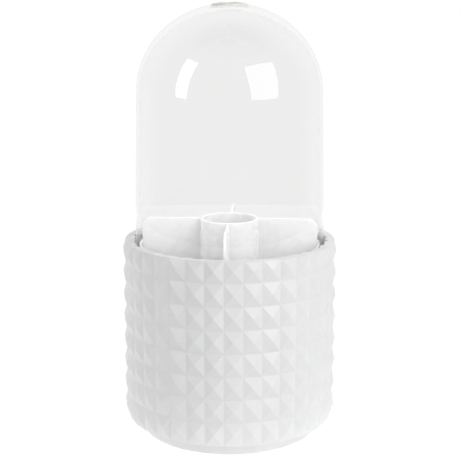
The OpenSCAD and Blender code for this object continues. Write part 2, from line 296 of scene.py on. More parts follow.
def moulded_plastic(name, colour, roughness, grain_size, grain_depth):
    """Moulded plastic: a slow drift of tone and gloss, shallow waves and the fine grain of the mould."""
    material, tree, shader = start_material(name)
    darker = [c * (1 - TONE_DRIFT) for c in colour]
    drift = spread(tree, noise(tree, TONE_PATCH, 3), 0, 1)
    fill_named(tree, shader, Base_Color=blend_colours(tree, drift, darker, colour),
               Roughness=spread(tree, noise(tree, GLOSS_PATCH, 4), roughness * (1 - GLOSS_DRIFT),
                                roughness * (1 + GLOSS_DRIFT)))
    bump(tree, shader, [(noise(tree, WAVE_SIZE, 1), WAVE_DEPTH),
                        (noise(tree, grain_size, 2), grain_depth)])
    return material


def studded_plastic():
    """The bucket's white plastic, with painted highlight that lightens the ridges and painted shade that
    darkens the valleys.
    """
    # Beside the plain white: a paler white for painted highlight on the ridges and a grey for painted
    # shade in the valleys
    white, ridge_highlight_white, valley_shade_grey = (0.86, 0.86, 0.87), (0.9, 0.9, 0.91), (0.8, 0.8, 0.8)
    material = moulded_plastic("bucket_white", white, 0.36, 0.5 * MM, 0.0015 * MM)
    tree = material.node_tree
    shader = next(n for n in tree.nodes if n.type == "BSDF_PRINCIPLED")
    plain = shader.inputs["Base Color"].links[0].from_socket
    level = node(tree, "ShaderNodeAttribute", {"attribute_name": "stud_level"}).outputs["Fac"]
    # Painted highlight: the ridges are lightened towards a paler white
    ridge_highlight = spread(tree, level, 0, 1, (FACET, RIDGE))
    # Painted shade: the valleys are darkened towards grey
    valley_shade = spread(tree, level, VALLEY_SHADE, 0, (VALLEY, FACET))
    highlighted = blend_colours(tree, ridge_highlight, plain, ridge_highlight_white)
    fill_named(tree, shader, Base_Color=blend_colours(tree, valley_shade, highlighted, valley_shade_grey))
    return material


def clear_plastic(name, mirror):
    """The lid's clear plastic: it hardly bends what stands behind it, takes a little light at each wall
    and lets lamps in. Its mirror is strong on the outer skin, the one that shows reflections."""
    material, tree, shader = start_material(name)
    fill_named(tree, shader, Base_Color=LID_TINT, Roughness=0.0, IOR=LID_IOR, Transmission_Weight=1.0,
               Coat_Weight=mirror, Coat_Roughness=0.0, Coat_IOR=COAT_IOR)
    pane = node(tree, "ShaderNodeBsdfTransparent", Color=LID_SHADOW)
    in_shadow = tree.nodes.new("ShaderNodeLightPath").outputs["Is Shadow Ray"]
    output = next(n for n in tree.nodes if n.type == "OUTPUT_MATERIAL")
    fill_named(tree, output, Surface=mixed(tree, in_shadow, shader, pane).outputs[0])
    return material


def badge_ivory():
    """The badge's ivory plastic, with a band of short grey strokes around its side."""
    ivory, grey = (0.88, 0.87, 0.83), (0.42, 0.4, 0.39)
    material, tree, shader = start_material("badge_ivory")
    place = node(tree, "ShaderNodeSeparateXYZ",
                 Vector=tree.nodes.new("ShaderNodeTexCoord").outputs["Object"]).outputs
    turns = calc(tree, "MULTIPLY", calc(tree, "ARCTAN2", place["Y"], place["X"]), STROKES / math.tau)
    in_turn = calc(tree, "FRACT", calc(tree, "ADD", turns, STROKES))
    stroke = calc(tree, "LESS_THAN", in_turn, STROKE_SHARE)
    off_band = calc(tree, "ABSOLUTE", calc(tree, "SUBTRACT", place["Z"], STROKE_Z))
    in_band = calc(tree, "LESS_THAN", off_band, STROKE_L / 2)
    fill_named(tree, shader,
               Base_Color=blend_colours(tree, calc(tree, "MULTIPLY", stroke, in_band), ivory, grey),
               Roughness=spread(tree, noise(tree, 3 * MM, 3), 0.3, 0.4))
    return material


def metal(name, colour, roughness, brush=None):
    """Metal with a smudge in its gloss, and turning marks where brush gives their spacing."""
    material, tree, shader = start_material(name)
    tint = spread(tree, noise(tree, 1.5 * MM), 0, 1)
    fill_named(tree, shader, Metallic=1.0,
               Base_Color=blend_colours(tree, tint, [c * METAL_DULL for c in colour], colour),
               Roughness=spread(tree, noise(tree, 0.8 * MM, 4), roughness * (1 - SMUDGE),
                                roughness * (1 + SMUDGE)))
    if brush:
        bump(tree, shader, [(noise(tree, brush, 2), BRUSH_DEPTH)])
    return material


def foot_rubber():
    """Dull black rubber with a fine pebbled skin."""
    black, grey = (0.02, 0.02, 0.02), (0.045, 0.044, 0.043)
    material, tree, shader = start_material("foot_rubber")
    fill_named(tree, shader,
               Base_Color=blend_colours(tree, spread(tree, noise(tree, 2 * MM, 4), 0, 1), black, grey),
               Roughness=spread(tree, noise(tree, 1 * MM, 3), 0.7, 0.9))
    bump(tree, shader, [(noise(tree, PEBBLE_SIZE, 2), PEBBLE_DEPTH)])
    return material


BUCKET_WHITE = studded_plastic()
CUP_WHITE = moulded_plastic("cup_white", (0.85, 0.85, 0.85), 0.28, 0.6 * MM, 0.0002 * MM)
BASE_WHITE = moulded_plastic("base_white", (0.84, 0.84, 0.84), 0.48, 0.3 * MM, 0.006 * MM)
CAGE_PLASTIC = moulded_plastic("cage_plastic", (0.72, 0.73, 0.75), 0.5, 0.3 * MM, 0.006 * MM)
BADGE_IVORY = badge_ivory()
BADGE_GREY = moulded_plastic("badge_grey", (0.3, 0.28, 0.27), 0.35, 0.25 * MM, 0.003 * MM)
LID_CLEAR = clear_plastic("lid_clear", 1.0)
LID_INSIDE = clear_plastic("lid_inside", 0.0)
BEARING_STEEL = metal("bearing_steel", (0.7, 0.7, 0.72), 0.08)
ZINC_STEEL = metal("zinc_steel", (0.62, 0.62, 0.64), 0.3, 0.2 * MM)
FOOT_RUBBER = foot_rubber()


# ---------------------------------------------------------------- mesh tools
ON_AXIS = 1e-7
TOUCHING = 1e-6
ROUNDING_SHARE = 0.49  # of a side, at most, is taken up by the rounding at either end


def arc(centre, radius, start, stop, steps):
    """Points of an arc about a centre, from one angle to another."""
    turns = [start + (stop - start) * i / steps for i in range(steps + 1)]
    return [(centre[0] + radius * math.cos(a), centre[1] + radius * math.sin(a)) for a in turns]


def softened(outline, closed=True, steps=4):
    """An outline whose corners (r, z, radius) are rounded; a corner with no radius stays sharp."""
    points = []
    for i, (r, z, *radius) in enumerate(outline):
        corner = Vector((r, z))
        end = not closed and i in (0, len(outline) - 1)
        if not radius or end:
            points.append(corner)
            continue
        before = Vector(outline[i - 1][:2]) - corner
        after = Vector(outline[(i + 1) % len(outline)][:2]) - corner
        half = before.angle(after) / 2
        reach_back = min(radius[0] / math.tan(half), before.length * ROUNDING_SHARE,
                         after.length * ROUNDING_SHARE)
        size = reach_back * math.tan(half)
        before.normalize()
        after.normalize()
        centre = corner + (before + after).normalized() * (size / math.sin(half))
        first = corner + before * reach_back - centre
        last = corner + after * reach_back - centre
        swing = first.angle_signed(last)
        for k in range(steps + 1):
            a = -swing * k / steps
            turned = Vector((first.x * math.cos(a) - first.y * math.sin(a),
                             first.x * math.sin(a) + first.y * math.cos(a)))
            points.append(centre + turned)
    return [(p.x, p.y) for p in points]


def lathed(name, outline, closed, steps=192):
    """A solid of revolution. An open outline starts and ends on the axis."""
    bm = bmesh.new()
    rings = []
    for r, z in outline:
        if r < ON_AXIS:
            rings.append([bm.verts.new((0, 0, z))] * steps)
        else:
            rings.append([bm.verts.new((r * math.cos(a), r * math.sin(a), z))
                          for a in (math.tau * i / steps for i in range(steps))])
    for low, high in zip(rings, rings[1:] + (rings[:1] if closed else [])):
        for i in range(steps):
            j = (i + 1) % steps
            bm.faces.new(list(dict.fromkeys((low[i], low[j], high[j], high[i]))))
    bmesh.ops.recalc_face_normals(bm, faces=bm.faces)
    return finished_mesh(name, bm)


def finished_mesh(name, bm):
    """A smooth mesh from a bmesh, which is freed."""
    mesh = bpy.data.meshes.new(name)
    for face in bm.faces:
        face.smooth = True
    bm.to_mesh(mesh)
    bm.free()
    return mesh


def evaluated(mesh, prepare):
    """The mesh that comes out once prepare has given a passing object its modifiers."""
    carrier = bpy.data.objects.new("carrier", mesh)
    bpy.context.scene.collection.objects.link(carrier)
    prepare(carrier)
    result = bpy.data.meshes.new_from_object(
        carrier.evaluated_get(bpy.context.evaluated_depsgraph_get()))
    bpy.data.objects.remove(carrier)
    return result


def combined(first, second, operation):
    """Two solids fused, or the second cut out of the first."""
    tool = bpy.data.objects.new("tool", second)
    bpy.context.scene.collection.objects.link(tool)

    def prepare(carrier):
        boolean = carrier.modifiers.new("boolean", "BOOLEAN")
        boolean.operation = operation
        boolean.solver = "EXACT"
        boolean.object = tool

    result = evaluated(first, prepare)
    bpy.data.objects.remove(tool)
    return result


def piece(name, mesh, material, body, slot, *nodes, sharp=35, weighted=True):
    """A finished piece: shaded, on its body, standing for its CAD nodes. Its slot is not used."""
    mesh.shade_smooth()
    mesh.set_sharp_from_angle(angle=math.radians(sharp))
    if weighted:
        def prepare(carrier):
            normals = carrier.modifiers.new("normals", "WEIGHTED_NORMAL")
            normals.keep_sharp = True
            normals.weight = 100
        mesh = evaluated(mesh, prepare)
    if material:
        mesh.materials.clear()
        mesh.materials.append(material)
    mesh.name = name
    made = bpy.data.objects.new(name, mesh)
    bpy.context.scene.collection.objects.link(made)
    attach(made, body)
    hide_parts(*nodes)


# ---------------------------------------------------------------- geometry-node tools
def start_tree(name, inputs):
    """A Geometry Nodes tree with a geometry input, named inputs (name, kind) and a geometry output."""
    tree = bpy.data.node_groups.new(name, "GeometryNodeTree")
    tree.interface.new_socket("Geometry", in_out="INPUT", socket_type="NodeSocketGeometry")
    for label, kind in inputs:
        tree.interface.new_socket(label, in_out="INPUT", socket_type="NodeSocket" + kind)
    tree.interface.new_socket("Geometry", in_out="OUTPUT", socket_type="NodeSocketGeometry")
    return tree, tree.nodes.new("NodeGroupInput").outputs, tree.nodes.new("NodeGroupOutput").inputs


def join(tree, *parts):
    """Several geometries as one."""
    made = tree.nodes.new("GeometryNodeJoinGeometry")
    for part in parts:
        tree.links.new(part, made.inputs[0])
    return made.outputs[0]


def grow(mesh, tree, values):
    """The mesh that a tree makes from another, with the tree's named inputs set."""
    def prepare(carrier):
        modifier = carrier.modifiers.new("tree", "NODES")
        modifier.node_group = tree
        for item in tree.interface.items_tree:
            if item.in_out == "INPUT" and item.name in values:
                modifier[item.identifier] = values[item.name]
    return evaluated(mesh, prepare)


def copies_around_tree():
    """Copies of a piece turned about the axis, evenly spaced."""
    tree, given, result = start_tree("copies_around_axis", [
        ("Count", "Int"), ("Start", "Float"), ("Material", "Material")])
    points = node(tree, "GeometryNodePoints", Count=given["Count"])
    index = tree.nodes.new("GeometryNodeInputIndex").outputs[0]
    step = calc(tree, "DIVIDE", math.tau, given["Count"])
    turn = calc(tree, "ADD", given["Start"], calc(tree, "MULTIPLY", index, step))
    rotation = node(tree, "ShaderNodeCombineXYZ", Z=turn)
    copies = node(tree, "GeometryNodeInstanceOnPoints", Points=points.outputs[0],
                  Instance=given["Geometry"], Rotation=rotation.outputs[0])
    real = node(tree, "GeometryNodeRealizeInstances", Geometry=copies.outputs[0])
    painted = node(tree, "GeometryNodeSetMaterial", Geometry=real.outputs[0], Material=given["Material"])
    tree.links.new(painted.outputs[0], result["Geometry"])
    return tree


COPIES_AROUND = copies_around_tree()


def copied_around(mesh, count, start, material):
    """A mesh of so many copies of another, the first turned by the angle start."""
    return grow(mesh, COPIES_AROUND, {"Count": count, "Start": start, "Material": material})


# ---------------------------------------------------------------- studded bucket
SEAM = 0.01 * MM
EVEN_BAND, INNER_BAND = 0.06, 0.5  # shares of its radius that a floor's two rings are drawn in by


def lifted(point, corners, heights_at):
    """A plan point put on the facet over three plan corners with known heights."""
    flat = [Vector((x, y, 0)) for x, y in corners]
    raised = [Vector((x, y, z)) for (x, y), z in zip(corners, heights_at)]
    return barycentric_transform(Vector((point[0], point[1], 0)), *flat, *raised)


def inner_triangle(corners, margins):
    """A triangle drawn in from each of its sides by that side's margin."""
    sides = []
    for i in range(3):
        a, b = Vector(corners[i]), Vector(corners[(i + 1) % 3])
        inwards = Vector((a.y - b.y, b.x - a.x)).normalized() * margins[i]
        sides.append((a + inwards, b + inwards))
    return [crossing(*sides[i - 1], *sides[i]) for i in range(3)]


def crossing(a, b, c, d):
    """Where the line through a and b meets the line through c and d."""
    far = 100
    one, two = (b - a) * far, (d - c) * far
    return intersect_line_line_2d(a - one, b + one, c - two, d + two)


def stud(name, toe=0.0, drop=0.0, trim=None):
    """One stud on flat ground: x in columns, y up the wall, z out of it, with soft ridges and valleys.
    toe and drop are how far its lower corners lie in and down; its top is cut at the height trim."""
    plan = [(0, -drop), (COLUMN_W, -drop), (COLUMN_W, ROW_H), (0, ROW_H)]
    ground = [-toe, -toe, 0, 0]
    peak = (COLUMN_W / 2, TIP_SHARE * (ROW_H + drop) - drop)
    valley_lift = VALLEY_SOFT * STUD_H / ROW_H
    foot_share = 0.08
    bm = bmesh.new()
    level = bm.verts.layers.float.new("stud_level")

    def vertex(point, stud_level):
        made = bm.verts.new(point)
        made[level] = stud_level
        return made

    facets = []
    for i in range(4):
        k = (i + 1) % 4
        corners, tops = (plan[i], plan[k], peak), (ground[i], ground[k], STUD_H)
        inner = inner_triangle(corners, (VALLEY_SOFT, RIDGE_SOFT, RIDGE_SOFT))
        facets.append([vertex(lifted(p, corners, tops), FACET) for p in inner])

    summit_height = sum(f[2].co.z for f in facets) / 4
    summit = vertex((*peak, (summit_height + STUD_H) / 2), RIDGE)
    ridge_low, ridge_high, corner_verts, feet = [], [], [], []
    for i in range(4):
        left, right = facets[i - 1], facets[i]
        foot, top = Vector((*plan[i], ground[i])), Vector((*peak, STUD_H))
        along = top - foot
        for store, (a, b) in ((ridge_low, (left[1], right[0])), (ridge_high, (left[2], right[2]))):
            middle = (a.co + b.co) / 2
            on_ridge = foot + along * ((middle - foot).xy.dot(along.xy) / along.xy.length_squared)
            store.append(vertex((on_ridge.x, on_ridge.y, (on_ridge.z + middle.z) / 2), RIDGE))
        corner_verts.append(vertex((*plan[i], ground[i] + valley_lift), VALLEY))
        k = (i + 1) % 4
        here, there = Vector((*plan[i], ground[i])), Vector((*plan[k], ground[k]))
        feet.append([vertex(here.lerp(there, share) + Vector((0, 0, valley_lift)), VALLEY)
                     for share in (foot_share, 1 - foot_share)])

    for i in range(4):
        k = (i + 1) % 4
        own, before = facets[i], facets[i - 1]
        bm.faces.new(own)
        bm.faces.new((ridge_low[i], own[0], own[2], ridge_high[i]))
        bm.faces.new((before[1], ridge_low[i], ridge_high[i], before[2]))
        bm.faces.new((ridge_high[i], own[2], summit))
        bm.faces.new((own[2], ridge_high[k], summit))
        bm.faces.new((feet[i][0], feet[i][1], own[1], own[0]))
        bm.faces.new((corner_verts[i], feet[i][0], own[0], ridge_low[i]))
        bm.faces.new((corner_verts[i], ridge_low[i], before[1], feet[i - 1][1]))
    if trim is not None:
        bmesh.ops.bisect_plane(bm, geom=bm.verts[:] + bm.edges[:] + bm.faces[:],
                               plane_co=(0, trim, 0), plane_no=(0, 1, 0), clear_outer=True)
    for v in bm.verts:
        v.co.x /= COLUMN_W
    made = bpy.data.objects.new(name, finished_mesh(name, bm))
    bpy.context.scene.collection.objects.link(made)
    return made


def wrap_tree():
    """Bends flat ground around the axis: x counts columns, y runs up and z stands out of the wall."""
    tree, given, result = start_tree("wrap_around_axis", [
        ("Columns", "Int"), ("Flat Radius", "Float"), ("Turn", "Float"), ("First Row Height", "Float")])
    place = node(tree, "ShaderNodeSeparateXYZ",
                 Vector=tree.nodes.new("GeometryNodeInputPosition").outputs[0]).outputs
    step = calc(tree, "DIVIDE", math.tau, given["Columns"])
    off_middle = calc(tree, "SUBTRACT", calc(tree, "FRACT", place["X"]), 0.5)
    across = calc(tree, "MULTIPLY", step, off_middle)
    panel = calc(tree, "DIVIDE", given["Flat Radius"], calc(tree, "COSINE", across))
    radius = calc(tree, "ADD", panel, place["Z"])
    angle = calc(tree, "ADD", calc(tree, "SUBTRACT", given["Turn"], QUARTER),
                 calc(tree, "MULTIPLY", place["X"], step))
    wrapped = node(tree, "ShaderNodeCombineXYZ",
                   X=calc(tree, "MULTIPLY", radius, calc(tree, "COSINE", angle)),
                   Y=calc(tree, "MULTIPLY", radius, calc(tree, "SINE", angle)),
                   Z=calc(tree, "ADD", given["First Row Height"], place["Y"]))
    moved = node(tree, "GeometryNodeSetPosition", Geometry=given["Geometry"],
                 Position=wrapped.outputs[0])
    tree.links.new(moved.outputs[0], result["Geometry"])
    return tree


def studded_wall_tree():
    """Rows of studs wrapped around the axis as an outer skin and, a wall further in, an inner skin."""
    tree, given, result = start_tree("studded_wall", [
        ("Foot Stud", "Object"), ("Stud", "Object"), ("Rim Stud", "Object"),
        ("Columns", "Int"), ("Rows", "Int"), ("Row Height", "Float"), ("Flat Radius", "Float"),
        ("Wall", "Float"), ("Turn", "Float"), ("First Row Height", "Float"), ("Material", "Material")])
    studs = calc(tree, "MULTIPLY", given["Columns"], given["Rows"])
    points = node(tree, "GeometryNodePoints", Count=studs)
    index = tree.nodes.new("GeometryNodeInputIndex").outputs[0]
    row = calc(tree, "FLOOR", calc(tree, "DIVIDE", calc(tree, "ADD", index, 0.5), given["Columns"]))
    column = calc(tree, "SUBTRACT", index, calc(tree, "MULTIPLY", row, given["Columns"]))
    ground = node(tree, "ShaderNodeCombineXYZ", X=column,
                  Y=calc(tree, "MULTIPLY", row, given["Row Height"]))
    grid = node(tree, "GeometryNodeSetPosition", Geometry=points.outputs[0], Position=ground.outputs[0])
    is_foot = calc(tree, "LESS_THAN", row, 0.5)
    is_rim = calc(tree, "GREATER_THAN", row, calc(tree, "SUBTRACT", given["Rows"], 1.5))
    is_plain = calc(tree, "SUBTRACT", 1, calc(tree, "ADD", is_foot, is_rim))
    rows = []
    for label, chosen in (("Foot Stud", is_foot), ("Stud", is_plain), ("Rim Stud", is_rim)):
        source = node(tree, "GeometryNodeObjectInfo", Object=given[label], As_Instance=True)
        copies = node(tree, "GeometryNodeInstanceOnPoints", Points=grid.outputs[0], Selection=chosen,
                      Instance=source.outputs["Geometry"])
        rows.append(copies.outputs[0])
    flat = node(tree, "GeometryNodeRealizeInstances", Geometry=join(tree, *rows))
    skins = []
    wrap = wrap_tree()
    half_column = calc(tree, "DIVIDE", math.pi, given["Columns"])
    inset = calc(tree, "MULTIPLY", given["Wall"], calc(tree, "COSINE", half_column))
    for radius in (given["Flat Radius"], calc(tree, "SUBTRACT", given["Flat Radius"], inset)):
        skin = node(tree, "GeometryNodeGroup", {"node_tree": wrap}, Geometry=flat.outputs[0],
                    Columns=given["Columns"], Flat_Radius=radius, Turn=given["Turn"],
                    First_Row_Height=given["First Row Height"])
        skins.append(skin.outputs[0])
    inside = node(tree, "GeometryNodeFlipFaces", Mesh=skins[1])
    whole = node(tree, "GeometryNodeMergeByDistance", Geometry=join(tree, skins[0], inside.outputs[0]),
                 Distance=SEAM)
    real = node(tree, "GeometryNodeRealizeInstances", Geometry=whole.outputs[0])
    painted = node(tree, "GeometryNodeSetMaterial", Geometry=real.outputs[0], Material=given["Material"])
    tree.links.new(painted.outputs[0], result["Geometry"])
    return tree


def open_rings(bm):
    """The open rings of a mesh from the lowest up, the widest first, each in order around the axis."""
    rings, left = [], {e for e in bm.edges if e.is_boundary}
    while left:
        ring, front = set(), [left.pop()]
        while front:
            edge = front.pop()
            ring |= set(edge.verts)
            joined = {e for v in edge.verts for e in v.link_edges} & left
            left -= joined
            front += joined
        rings.append(sorted(ring, key=lambda v: math.atan2(v.co.y, v.co.x)))
    return sorted(rings, key=lambda ring: (round(ring[0].co.z, 5), -mean_radius(ring)))


def mean_radius(ring):
    """How far a ring's vertices lie from the axis on average."""
    return sum(v.co.xy.length for v in ring) / len(ring)


def join_rings(bm, one, two):
    """Faces between two rings with the same number of vertices."""
    for i in range(len(one)):
        bm.faces.new((one[i - 1], one[i], two[i], two[i - 1]))


def turn_along(ring, i):
    """The direction of a ring's vertex, counted on past a full turn."""
    v = ring[i % len(ring)]
    return math.atan2(v.co.y, v.co.x) + math.tau * (i // len(ring))


def zip_rings(bm, one, two):
    """Triangles between two rings that may have different numbers of vertices."""
    i = j = 0
    while i < len(one) or j < len(two):
        near, far = one[i % len(one)], two[j % len(two)]
        if j == len(two) or (i < len(one) and turn_along(one, i + 1) <= turn_along(two, j + 1)):
            i += 1
            bm.faces.new((near, one[i % len(one)], far))
        else:
            j += 1
            bm.faces.new((near, two[j % len(two)], far))


def toothed_ring(bm, outwards, height):
    """A ring along the lip's teeth and notches, drawn outwards from its opening."""
    made = []
    for i in range(COLUMNS * TOOTH_STEPS):
        share = (i / TOOTH_STEPS) % 1
        radius = TOOTH_R + outwards + NOTCH_DEPTH * (1 - abs(2 * share - 1))
        a = TURN - QUARTER + 2 * HALF_COLUMN * i / TOOTH_STEPS
        made.append(bm.verts.new((radius * math.cos(a), radius * math.sin(a), height)))
    return sorted(made, key=lambda v: math.atan2(v.co.y, v.co.x))


def trim_inner_skin(bm, height, way):
    """Cuts the bucket's inner skin at a height and drops what lies beyond (way 1 is up, -1 down)."""
    faces = [f for f in bm.faces if f.normal.xy.dot(f.calc_center_median().xy) < 0]
    corners = dict.fromkeys(v for f in faces for v in f.verts)
    edges = dict.fromkeys(e for f in faces for e in f.edges)
    bmesh.ops.bisect_plane(bm, geom=[*faces, *corners, *edges], plane_co=(0, 0, height),
                           plane_no=(0, 0, way), clear_outer=True)


def add_ring(bm, ring, inwards, height):
    """A new ring drawn in from another to a height, joined to it by faces."""
    made = []
    for v in ring:
        radius = v.co.xy.length
        made.append(bm.verts.new((*(v.co.xy * ((radius - inwards) / radius)), height)))
    join_rings(bm, ring, made)
    return made


def add_disc(bm, ring, height):
    """A flat floor that closes a ring: two more rings to even out its edge, and a fan to the axis."""
    radius = mean_radius(ring)
    even = add_ring(bm, ring, radius * EVEN_BAND, height)
    inner = add_ring(bm, even, radius * INNER_BAND, height)
    middle = bm.verts.new((0, 0, height))
    for i in range(len(inner)):
        bm.faces.new((inner[i - 1], inner[i], middle))


def add_floor(bm, ring, height, foot):
    """A floor inside a ring, with a soft corner whose first step stands foot above it."""
    drawn_in = add_ring(bm, ring, 0.3 * LIP_SOFT, height + foot)
    add_disc(bm, add_ring(bm, drawn_in, 0.7 * LIP_SOFT, height), height)


def studded_bucket():
    """The bucket: studded outside and in, with a toothed lip inside its rim and a flat floor."""
    top_row_z = ROW_Z + (ROWS - 1) * ROW_H
    studs = {
        "Foot Stud": stud("foot_stud", toe=TOE_IN, drop=FOOT_DROP),
        "Stud": stud("stud"),
        "Rim Stud": stud("rim_stud", trim=RIM_Z - LIP_SOFT - top_row_z),
    }
    skins = grow(bpy.data.meshes.new("skins"), studded_wall_tree(), {
        **studs, "Columns": COLUMNS, "Rows": ROWS, "Row Height": ROW_H, "Flat Radius": FLAT_R,
        "Wall": BUCKET_WALL, "Turn": TURN, "First Row Height": ROW_Z, "Material": BUCKET_WHITE})
    for template in studs.values():
        bpy.data.objects.remove(template)

    bm = bmesh.new()
    bm.from_mesh(skins)
    trim_inner_skin(bm, BUCKET_FLOOR_Z + LIP_SOFT, -1)
    trim_inner_skin(bm, LIP_Z, 1)
    underside, inner_foot, inner_top, outer_top = open_rings(bm)

    turns = [QUARTER / LIP_STEPS * k for k in range(LIP_STEPS + 1)]
    roundings = [(1 - math.cos(a), RIM_Z - LIP_SOFT * (1 - math.sin(a))) for a in turns]
    for (before, _), (drawn, height) in zip(roundings, roundings[1:]):
        outer_top = add_ring(bm, outer_top, LIP_SOFT * (drawn - before), height)
    teeth = [toothed_ring(bm, LIP_SOFT * drawn, height) for drawn, height in reversed(roundings)]
    teeth += [toothed_ring(bm, 0, LIP_Z + LIP_SOFT / 2), toothed_ring(bm, LIP_SOFT / 2, LIP_Z)]
    zip_rings(bm, outer_top, teeth[0])
    for upper, lower in zip(teeth, teeth[1:]):
        join_rings(bm, upper, lower)
    zip_rings(bm, teeth[-1], inner_top)

    add_floor(bm, underside, BUCKET_Z, 0)
    add_floor(bm, inner_foot, BUCKET_FLOOR_Z, 0.3 * LIP_SOFT)
    bmesh.ops.recalc_face_normals(bm, faces=bm.faces)
    piece("studded_bucket", finished_mesh("studded_bucket", bm), BUCKET_WHITE, "bucket",
          "bucket_white", "outer_shell", sharp=60)


# ---------------------------------------------------------------- cup and divider
def cup_outer_r(z):
    """The outer radius of the cup's tapered wall at a height."""
    return CUP_FOOT_R + CUP_DRAFT * (z - CUP_Z) / (LID_Z - CUP_Z)


def cup_inner_r(z):
    """The inner radius of the cup's tapered wall at a height."""
    return cup_outer_r(z) - CUP_WALL


def lift_out_cup():
    """The cup: a foot, a flange that the lid stands on, a collar inside the lid and ribs for the fins."""
    soft = 0.5 * MM
    floor_z = CUP_Z + CUP_FOOT_H
    outline = [
        (0, floor_z), (CUP_FOOT_R - CUP_FOOT_W, floor_z, soft), (CUP_FOOT_R - CUP_FOOT_W, CUP_Z, soft),
        (CUP_FOOT_R, CUP_Z, soft), (cup_outer_r(FLANGE_Z), FLANGE_Z, soft), (FLANGE_R, FLANGE_Z, soft),
        (FLANGE_R, LID_Z, soft), (COLLAR_R, LID_Z, 0.3 * MM), (COLLAR_R, COLLAR_Z, 0.7 * MM),
        (COLLAR_R - CUP_WALL, COLLAR_Z, 0.7 * MM), (cup_inner_r(LID_Z), LID_Z, 6 * MM),
        (cup_inner_r(CUP_INSIDE_Z), CUP_INSIDE_Z, 1.5 * MM), (0, CUP_INSIDE_Z)]
    shell = lathed("cup_shell", softened(outline, closed=False), closed=False)
    ribs = copied_around(guide_ribs(), FINS, TURN - QUARTER, CUP_WHITE)
    piece("lift_out_cup", combined(shell, ribs, "UNION"), CUP_WHITE, "cup", "cup_white", "inner_cup")


def guide_ribs():
    """The two ribs that hold a fin's edge, on either side of the +X axis."""
    bm = bmesh.new()
    low, high = CUP_INSIDE_Z - CUP_FLOOR / 2, FLANGE_Z
    wall_r = cup_inner_r(CUP_INSIDE_Z)
    inner_r, outer_low = wall_r - GUIDE_T, wall_r + CUP_WALL / 2
    outer_high = cup_outer_r(high) - CUP_WALL / 2
    outline = ((inner_r, low), (outer_low, low), (outer_high, high), (inner_r, high))
    for side in (-1, 1):
        near = side * (DIVIDER_T / 2 + GUIDE_GAP)
        far = near + side * GUIDE_T
        a, b, c, d, e, f, g, h = [bm.verts.new((r, y, z)) for r, z in outline for y in (near, far)]
        for quad in ((a, c, d, b), (c, e, f, d), (e, g, h, f), (g, a, b, h), (a, g, e, c), (b, d, f, h)):
            bm.faces.new(quad)
        rounded = [bm.edges.get(pair) for pair in ((a, g), (b, h), (g, h))]
        bmesh.ops.bevel(bm, geom=rounded, offset=GUIDE_SOFT, segments=2, profile=0.5, affect="EDGES")
    bmesh.ops.recalc_face_normals(bm, faces=bm.faces)
    return finished_mesh("guide_ribs", bm)


def fin():
    """One fin of the divider, along +X, with soft edges."""
    foot_r = cup_inner_r(DIVIDER_Z) - FIN_GAP
    slope = (cup_inner_r(LID_Z) - cup_inner_r(DIVIDER_Z)) / (LID_Z - DIVIDER_Z)
    edge_r = foot_r + slope * (DIVIDER_TOP_Z - FIN_CORNER - DIVIDER_Z)
    root = RING_R - DIVIDER_T / 2
    top_r = edge_r + slope * FIN_CORNER
    outline = softened([(root, DIVIDER_Z), (foot_r, DIVIDER_Z, 1.2 * MM),
                        (top_r, DIVIDER_TOP_Z, FIN_CORNER), (root, DIVIDER_TOP_Z)], steps=12)
    bm = bmesh.new()
    near, far = [bm.faces.new([bm.verts.new((r, y, z)) for r, z in outline])
                 for y in (-DIVIDER_T / 2, DIVIDER_T / 2)]
    count = len(outline)
    for i in range(count):
        k = (i + 1) % count
        bm.faces.new((near.verts[i], near.verts[k], far.verts[k], far.verts[i]))
    bmesh.ops.recalc_face_normals(bm, faces=bm.faces)
    rim = [e for face in (near, far) for e in face.edges if e.calc_length() > 0 and not on_root(e, root)]
    bmesh.ops.bevel(bm, geom=rim, offset=FIN_SOFT, segments=3, profile=0.5, affect="EDGES",
                    clamp_overlap=True)
    return finished_mesh("fin", bm)


def on_root(edge, root):
    """True for an edge that lies inside the ring's wall."""
    return all(abs(v.co.x - root) < TOUCHING for v in edge.verts)


def ring_divider():
    """The divider: a middle ring with fins that reach the cup's wall."""
    soft = 0.5 * MM
    inner = RING_R - DIVIDER_T
    ring = lathed("divider_ring", softened([
        (inner, DIVIDER_Z, soft), (RING_R, DIVIDER_Z, soft), (RING_R, DIVIDER_TOP_Z, soft),
        (inner, DIVIDER_TOP_Z, soft)]), closed=True, steps=128)
    fins = copied_around(fin(), FINS, TURN - QUARTER, CUP_WHITE)
    piece("ring_divider", combined(ring, fins, "UNION"), CUP_WHITE, "cup", "cup_white",
          "divider_insert")


